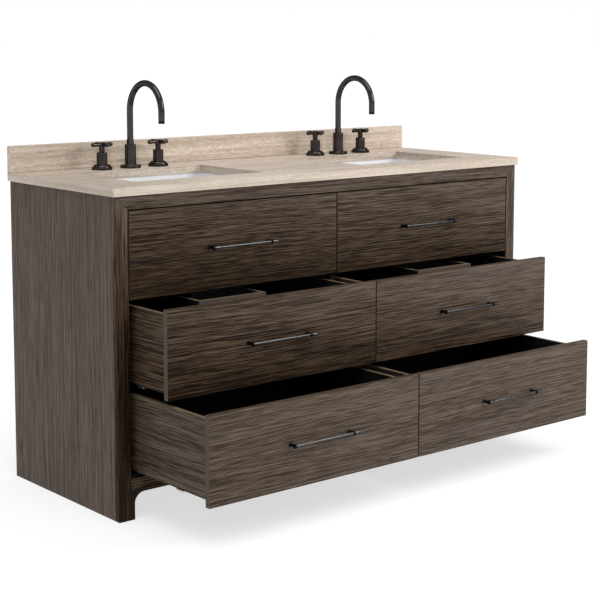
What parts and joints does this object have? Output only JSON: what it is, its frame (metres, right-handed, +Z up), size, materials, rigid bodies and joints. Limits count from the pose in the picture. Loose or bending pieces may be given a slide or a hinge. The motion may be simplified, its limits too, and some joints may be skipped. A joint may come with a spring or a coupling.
{
  "type": "bathroom vanity cabinet",
  "caption": "Floor-standing bathroom vanity cabinet with a stone top, undermount sinks, widespread faucets, false fronts and sliding drawers in a mitred face frame.",
  "frame": {"origin": "centre of the footprint on the floor, with the drawers part open as at rest: under the middle of the box around the whole object", "axes": "+X along the front to the user's right, +Y towards the wall, +Z up"},
  "size_m": [1.524, 0.9252, 1.147],
  "materials": {
    "side_veneer": "grey brown oiled veneer, vertical grain",
    "front_veneer": "dark brown brushed veneer",
    "inner_board": "near black laminated board",
    "stone": "honed travertine",
    "ceramic": "white glazed ceramic",
    "dark_metal": "satin gunmetal",
    "zinc_steel": "zinc-plated steel"
  },
  "bodies": {
    "cabinet": {"left_side_panel": "side_veneer", "right_side_panel": "side_veneer", "bottom_panel": "inner_board", "center_divider": "inner_board", "back_top_rail": "inner_board", "back_panel": "inner_board", "frame_left_stile": "front_veneer", "frame_right_stile": "front_veneer", "frame_top_rail": "front_veneer", "base_apron": "front_veneer", "leg_block_left": "front_veneer", "leg_block_right": "front_veneer", "countertop": "stone", "backsplash": "stone", "sink_left": "ceramic", "drain_left": "dark_metal", "spout_base_left": "dark_metal", "valve_body_left_hot": "dark_metal", "valve_body_left_cold": "dark_metal", "false_front_top_left": "front_veneer", "pull_top_left": "dark_metal", "slide_rail_middle_left_outer": "zinc_steel", "slide_rail_middle_left_inner": "zinc_steel", "slide_rail_bottom_left_outer": "zinc_steel", "slide_rail_bottom_left_inner": "zinc_steel", "sink_right": "ceramic", "drain_right": "dark_metal", "spout_base_right": "dark_metal", "valve_body_right_hot": "dark_metal", "valve_body_right_cold": "dark_metal", "false_front_top_right": "front_veneer", "pull_top_right": "dark_metal", "slide_rail_middle_right_outer": "zinc_steel", "slide_rail_middle_right_inner": "zinc_steel", "slide_rail_bottom_right_outer": "zinc_steel", "slide_rail_bottom_right_inner": "zinc_steel"},
    "drain_stopper_left": {"drain_stopper_left": "dark_metal"},
    "spout_left": {"spout_left": "dark_metal"},
    "cross_handle_left_hot": {"cross_handle_left_hot": "dark_metal"},
    "cross_handle_left_cold": {"cross_handle_left_cold": "dark_metal"},
    "drawer_middle_left": {"drawer_front_middle_left": "front_veneer", "drawer_box_middle_left": "front_veneer", "drawer_bottom_middle_left": "inner_board", "pull_middle_left": "dark_metal"},
    "drawer_bottom_left": {"drawer_front_bottom_left": "front_veneer", "drawer_box_bottom_left": "front_veneer", "drawer_bottom_bottom_left": "inner_board", "pull_bottom_left": "dark_metal"},
    "drain_stopper_right": {"drain_stopper_right": "dark_metal"},
    "spout_right": {"spout_right": "dark_metal"},
    "cross_handle_right_hot": {"cross_handle_right_hot": "dark_metal"},
    "cross_handle_right_cold": {"cross_handle_right_cold": "dark_metal"},
    "drawer_middle_right": {"drawer_front_middle_right": "front_veneer", "drawer_box_middle_right": "front_veneer", "drawer_bottom_middle_right": "inner_board", "pull_middle_right": "dark_metal"},
    "drawer_bottom_right": {"drawer_front_bottom_right": "front_veneer", "drawer_box_bottom_right": "front_veneer", "drawer_bottom_bottom_right": "inner_board", "pull_bottom_right": "dark_metal"}
  },
  "joints": [
    {"name": "stopper_lift_left", "type": "slide", "parent": "cabinet", "child": "drain_stopper_left", "axis": [0, 0, 1], "range_m": [0, 0.008]},
    {"name": "spout_swivel_left", "type": "hinge", "parent": "cabinet", "child": "spout_left", "pos_m": [-0.405, 0.3726, 0.957], "axis": [0, 0, 1], "range_deg": [-90, 90]},
    {"name": "handle_turn_left_hot", "type": "hinge", "parent": "cabinet", "child": "cross_handle_left_hot", "pos_m": [-0.503, 0.3726, 0.937], "axis": [0, 0, 1], "range_deg": [0, 90]},
    {"name": "handle_turn_left_cold", "type": "hinge", "parent": "cabinet", "child": "cross_handle_left_cold", "pos_m": [-0.307, 0.3726, 0.937], "axis": [0, 0, 1], "range_deg": [-90, 0]},
    {"name": "drawer_slide_middle_left", "type": "slide", "parent": "cabinet", "child": "drawer_middle_left", "axis": [0, -1, 0], "range_m": [-0.17, 0.25]},
    {"name": "drawer_slide_bottom_left", "type": "slide", "parent": "cabinet", "child": "drawer_bottom_left", "axis": [0, -1, 0], "range_m": [-0.346, 0.074]},
    {"name": "stopper_lift_right", "type": "slide", "parent": "cabinet", "child": "drain_stopper_right", "axis": [0, 0, 1], "range_m": [0, 0.008]},
    {"name": "spout_swivel_right", "type": "hinge", "parent": "cabinet", "child": "spout_right", "pos_m": [0.405, 0.3726, 0.957], "axis": [0, 0, 1], "range_deg": [-90, 90]},
    {"name": "handle_turn_right_hot", "type": "hinge", "parent": "cabinet", "child": "cross_handle_right_hot", "pos_m": [0.307, 0.3726, 0.937], "axis": [0, 0, 1], "range_deg": [0, 90]},
    {"name": "handle_turn_right_cold", "type": "hinge", "parent": "cabinet", "child": "cross_handle_right_cold", "pos_m": [0.503, 0.3726, 0.937], "axis": [0, 0, 1], "range_deg": [-90, 0]},
    {"name": "drawer_slide_middle_right", "type": "slide", "parent": "cabinet", "child": "drawer_middle_right", "axis": [0, -1, 0], "range_m": [-0.17, 0.25]},
    {"name": "drawer_slide_bottom_right", "type": "slide", "parent": "cabinet", "child": "drawer_bottom_right", "axis": [0, -1, 0], "range_m": [-0.346, 0.074]}
  ]
}
